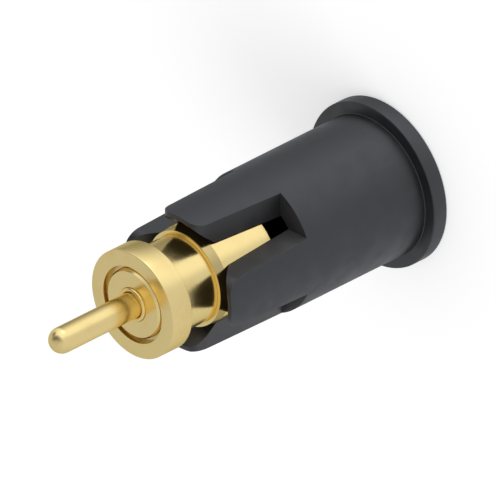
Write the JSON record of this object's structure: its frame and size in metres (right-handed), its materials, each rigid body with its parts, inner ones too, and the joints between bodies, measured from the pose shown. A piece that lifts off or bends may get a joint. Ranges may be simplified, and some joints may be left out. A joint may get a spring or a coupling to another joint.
{
  "type": "coaxial pogo pin",
  "caption": "Coaxial spring-loaded contact: a round-nosed centre pin inside a sprung contact ring, in a flanged moulded sleeve with slotted snap fingers.",
  "frame": {"origin": "centre of the flange's rear face", "axes": "+Z along the axis, towards the tip of the pin; the notches between the fingers face +X, +Y, -X and -Y"},
  "size_m": [0.01, 0.01, 0.0257],
  "materials": {
    "housing_plastic": "fine matte moulding",
    "gold_plate": "satin polished gold plating over turned brass",
    "insulator_plastic": "matte moulding",
    "spring_steel": "drawn wire and ground ball"
  },
  "bodies": {
    "base": {"housing": "housing_plastic", "ring_barrel": "gold_plate", "ring_terminal": "gold_plate", "rear_insulator": "insulator_plastic", "ring_spring": "spring_steel"},
    "head": {"ring_plunger": "gold_plate", "head_insulator": "insulator_plastic", "centre_disc": "gold_plate", "pin_barrel": "gold_plate", "pin_spring": "spring_steel"},
    "pin": {"pin_plunger": "gold_plate", "bias_ball": "spring_steel"}
  },
  "joints": [
    {"name": "head_press", "type": "slide", "parent": "base", "child": "head", "axis": [0, 0, -1], "range_m": [0, 0.0024], "stiffness_N_per_m": 500, "springref_m": -0.002, "deforming": ["ring_spring"]},
    {"name": "pin_press", "type": "slide", "parent": "head", "child": "pin", "axis": [0, 0, -1], "range_m": [0, 0.003], "stiffness_N_per_m": 250, "springref_m": -0.002, "deforming": ["pin_spring"]}
  ]
}
